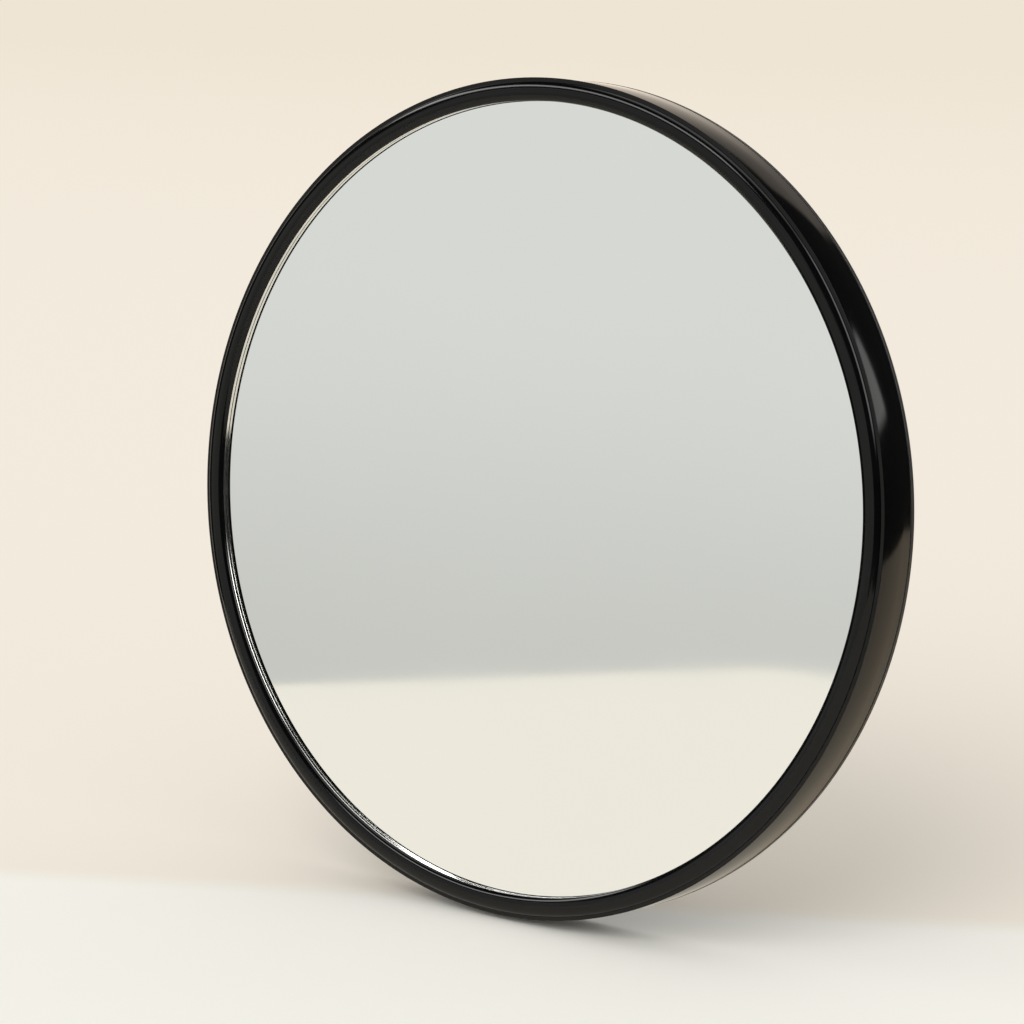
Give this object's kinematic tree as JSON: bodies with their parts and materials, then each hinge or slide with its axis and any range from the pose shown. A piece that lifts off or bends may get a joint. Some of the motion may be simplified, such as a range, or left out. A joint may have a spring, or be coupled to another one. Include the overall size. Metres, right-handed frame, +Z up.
{
  "type": "countertop mirror",
  "caption": "Round tabletop mirror in a deep glossy black ring, leaning back on a hinged easel strut that folds flat behind it.",
  "frame": {"origin": "middle of the bounding box's base: z = 0 is the table under the rim pad and the strut foot, with the strut open", "axes": "+X to the right of someone looking into the mirror, +Y from the mirror's face to its back, +Z up"},
  "size_m": [0.2498, 0.0628, 0.2499],
  "materials": {
    "gloss_black": "high gloss black moulding, mirror-like reflections on the side wall",
    "satin_black": "fine grained satin black moulding",
    "strut_black": "fine grained satin black moulding",
    "polished_trim": "thin polished ring inside the aperture",
    "mirror_face": "clear flat silvered glass",
    "mirror_paint": "grey backing paint film on the silvering",
    "foam_black": "closed-cell foam sheet",
    "rubber_black": "matt black rubber",
    "zinc_steel": "bright zinc plated sheet steel and pin",
    "screw_black": "black oxide steel screws"
  },
  "bodies": {
    "head": {"bezel_ring": "gloss_black", "rim_shell": "gloss_black", "trim_ring": "polished_trim", "glass_gasket": "rubber_black", "mirror_glass": "mirror_face", "mirror_backing": "mirror_paint", "foam_pad": "foam_black", "back_cover": "satin_black", "rim_foot_pad": "rubber_black", "cover_screw_1": "screw_black", "cover_screw_2": "screw_black", "cover_screw_3": "screw_black", "cover_screw_4": "screw_black", "cover_screw_5": "screw_black", "cover_screw_6": "screw_black", "hinge_screw_1": "zinc_steel", "hinge_screw_2": "zinc_steel", "hinge_screw_3": "zinc_steel", "hinge_screw_4": "zinc_steel", "hinge_plate": "zinc_steel", "hinge_pin": "zinc_steel", "hinge_washer_left": "zinc_steel", "hinge_washer_right": "zinc_steel", "pin_clip": "zinc_steel"},
    "strut": {"stand_strut": "strut_black", "strut_foot_cap": "rubber_black"}
  },
  "joints": [
    {"name": "strut_fold", "type": "hinge", "parent": "head", "child": "strut", "pos_m": [0, 0.00382, 0.16941], "axis": [1, 0, 0], "range_deg": [-12.5, 0]}
  ]
}
